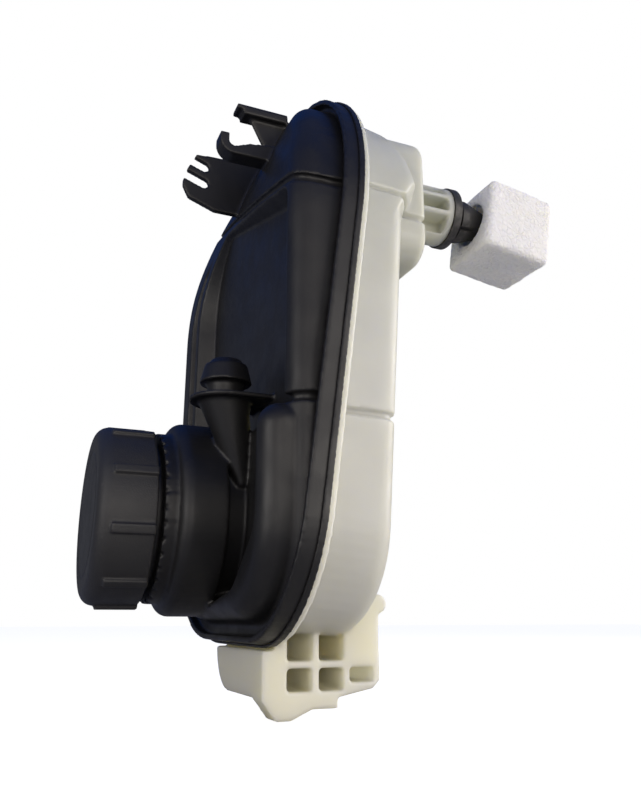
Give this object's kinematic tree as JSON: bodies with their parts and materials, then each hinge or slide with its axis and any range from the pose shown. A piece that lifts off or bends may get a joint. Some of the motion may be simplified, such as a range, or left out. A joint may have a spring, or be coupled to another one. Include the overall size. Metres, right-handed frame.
{
  "type": "coolant reservoir",
  "caption": "Welded two-tone coolant tank with screw cap, barbed hose nozzle, pipe clips, ribbed foot and a rubber-tipped mounting peg that carries a foam block.",
  "frame": {"origin": "centre of the rubber buffer's disc on the mounting peg, where the tank plugs into the car's panel", "axes": "+X along the mounting peg, away from the tank; -X is the side of the cap, which is up in the car; +Z along the flat tank, from the foot to the arched end; +Y to the far side"},
  "size_m": [0.1783, 0.1778, 0.2558],
  "materials": {
    "black_shell": "satin moulded black",
    "natural_shell": "satin, slightly see-through",
    "cap_plastic": "fine grained",
    "valve_plastic": "smooth moulded",
    "sensor_plastic": "smooth moulded",
    "float_plastic": "matt foamed",
    "seal_rubber": "smooth",
    "buffer_rubber": "satin",
    "foam": "beaded foam",
    "spring_steel": "drawn wire",
    "poppet_brass": "turned",
    "contact_metal": "tin plated",
    "reed_glass": "clear",
    "magnet_ferrite": "sintered"
  },
  "bodies": {
    "tank": {"front_shell": "black_shell", "rear_shell": "natural_shell", "weld_bead": "black_shell", "mounting_buffer": "buffer_rubber", "sensor_housing": "sensor_plastic", "sensor_gasket": "seal_rubber", "sensor_screws": "spring_steel", "sensor_pins": "contact_metal", "reed_switch": "reed_glass", "float_clip": "spring_steel"},
    "cap_core": {"cap_insert": "valve_plastic", "cap_seal": "seal_rubber", "cap_gasket": "seal_rubber", "spring_retainer": "valve_plastic", "pressure_spring": "spring_steel"},
    "cap_grip": {"cap_shell": "cap_plastic", "cap_lock_ring": "spring_steel"},
    "pressure_valve": {"pressure_plate": "valve_plastic", "pressure_seal": "seal_rubber", "vacuum_spring": "spring_steel"},
    "vacuum_valve": {"vacuum_poppet": "poppet_brass"},
    "float": {"level_float": "float_plastic", "float_magnet": "magnet_ferrite"},
    "foam": {"foam_block": "foam"}
  },
  "joints": [
    {"name": "cap_lift", "type": "slide", "parent": "tank", "child": "cap_core", "axis": [-1, 0, 0], "range_m": [0, 0.0091]},
    {"name": "cap_turn", "type": "hinge", "parent": "cap_core", "child": "cap_grip", "pos_m": [-0.12, 0.05, -0.127], "axis": [-1, 0, 0], "range_deg": [0, 540]},
    {"name": "pressure_lift", "type": "slide", "parent": "cap_core", "child": "pressure_valve", "axis": [-1, 0, 0], "range_m": [0, 0.0025], "stiffness_N_per_m": 12500, "springref_m": -0.006, "deforming": ["pressure_spring"]},
    {"name": "vacuum_drop", "type": "slide", "parent": "pressure_valve", "child": "vacuum_valve", "axis": [1, 0, 0], "range_m": [0, 0.0015], "stiffness_N_per_m": 250, "springref_m": -0.002, "deforming": ["vacuum_spring"]},
    {"name": "float_rise", "type": "slide", "parent": "tank", "child": "float", "axis": [-1, 0, 0], "range_m": [0, 0.0158]},
    {"name": "foam_pull_off", "type": "slide", "parent": "tank", "child": "foam", "axis": [1, 0, 0], "range_m": [0, 0.03]}
  ],
  "couplings": [
    {"joint": "cap_lift", "follows": "cap_turn", "m_per_rad": 0.00095493}
  ]
}
